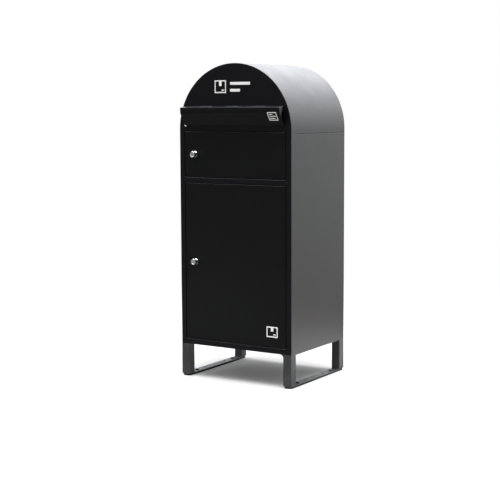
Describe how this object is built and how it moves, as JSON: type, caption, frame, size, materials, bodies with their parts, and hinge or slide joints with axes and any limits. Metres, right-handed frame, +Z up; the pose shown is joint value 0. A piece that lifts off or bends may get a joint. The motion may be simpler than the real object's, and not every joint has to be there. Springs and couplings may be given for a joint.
{
  "type": "parcel drop box",
  "caption": "Floor-standing arched steel mail and parcel box with a lift-up mail flap, a small mail door above a large parcel door, key locks and low leg frames.",
  "frame": {"origin": "on the floor, at the centre of the four floor-anchor holes, which is the centre of the cabinet's footprint", "axes": "+Z up; the doors and the flap face -Y; +X is to the right seen from the front"},
  "size_m": [0.43, 0.392, 1.05],
  "materials": {
    "cabinet_paint": "satin black powder coat on sheet steel",
    "door_paint": "satin black powder coat on sheet steel",
    "flap_paint": "satin black powder coat on sheet steel",
    "leg_paint": "satin black powder coat on steel tube and bar",
    "lock_chrome": "polished chrome plate with light handling marks",
    "zinc_steel": "bright zinc plate",
    "black_steel": "black zinc plate",
    "runner_rubber": "matt black rubber",
    "seal_foam": "soft black foam rubber",
    "bumper_plastic": "clear-white soft plastic",
    "bush_nylon": "black nylon",
    "mark_print": "white screen print"
  },
  "bodies": {
    "cabinet": {"front_frame": "cabinet_paint", "left_side_panel": "cabinet_paint", "right_side_panel": "cabinet_paint", "arch_shell": "cabinet_paint", "rear_panel": "cabinet_paint", "floor_panel": "cabinet_paint", "divider_shelf": "cabinet_paint", "mail_door_seal": "seal_foam", "parcel_door_seal": "seal_foam", "mail_door_pivot_pins": "black_steel", "parcel_door_pivot_pins": "black_steel", "flap_hinge_leaf": "cabinet_paint", "flap_hinge_rod": "black_steel", "flap_bumper": "bumper_plastic", "front_left_post": "leg_paint", "front_right_post": "leg_paint", "rear_left_post": "leg_paint", "rear_right_post": "leg_paint", "left_foot_bar": "leg_paint", "right_foot_bar": "leg_paint", "left_foot_runner": "runner_rubber", "right_foot_runner": "runner_rubber", "left_mount_rail": "leg_paint", "right_mount_rail": "leg_paint", "front_gussets": "leg_paint", "leg_bolts": "zinc_steel", "leg_nuts": "zinc_steel", "runner_screws": "black_steel"},
    "flap": {"mail_flap": "flap_paint"},
    "mail_door_body": {"mail_door": "door_paint", "mail_door_bushes": "bush_nylon", "mail_lock_housing": "lock_chrome", "mail_lock_nut": "zinc_steel"},
    "parcel_door_body": {"parcel_door": "door_paint", "parcel_door_bushes": "bush_nylon", "parcel_door_stiffener": "door_paint", "parcel_lock_housing": "lock_chrome", "parcel_lock_nut": "zinc_steel"},
    "mail_lock": {"mail_lock_plug": "lock_chrome", "mail_lock_cam": "zinc_steel", "mail_lock_cam_screw": "zinc_steel"},
    "parcel_lock": {"parcel_lock_plug": "lock_chrome", "parcel_lock_cam": "zinc_steel", "parcel_lock_cam_screw": "zinc_steel"}
  },
  "joints": [
    {"name": "mail_flap_lift", "type": "hinge", "parent": "cabinet", "child": "flap", "pos_m": [0, -0.187, 0.907], "axis": [-1, 0, 0], "range_deg": [0, 80]},
    {"name": "mail_door_swing", "type": "hinge", "parent": "cabinet", "child": "mail_door_body", "pos_m": [0.1845, -0.174, 0.753], "axis": [0, 0, 1], "range_deg": [0, 110]},
    {"name": "parcel_door_swing", "type": "hinge", "parent": "cabinet", "child": "parcel_door_body", "pos_m": [0.1845, -0.174, 0.394], "axis": [0, 0, 1], "range_deg": [0, 110]},
    {"name": "mail_lock_turn", "type": "hinge", "parent": "mail_door_body", "child": "mail_lock", "pos_m": [-0.1545, -0.18, 0.753], "axis": [0, 1, 0], "range_deg": [0, 90]},
    {"name": "parcel_lock_turn", "type": "hinge", "parent": "parcel_door_body", "child": "parcel_lock", "pos_m": [-0.1545, -0.18, 0.394], "axis": [0, 1, 0], "range_deg": [0, 90]}
  ]
}
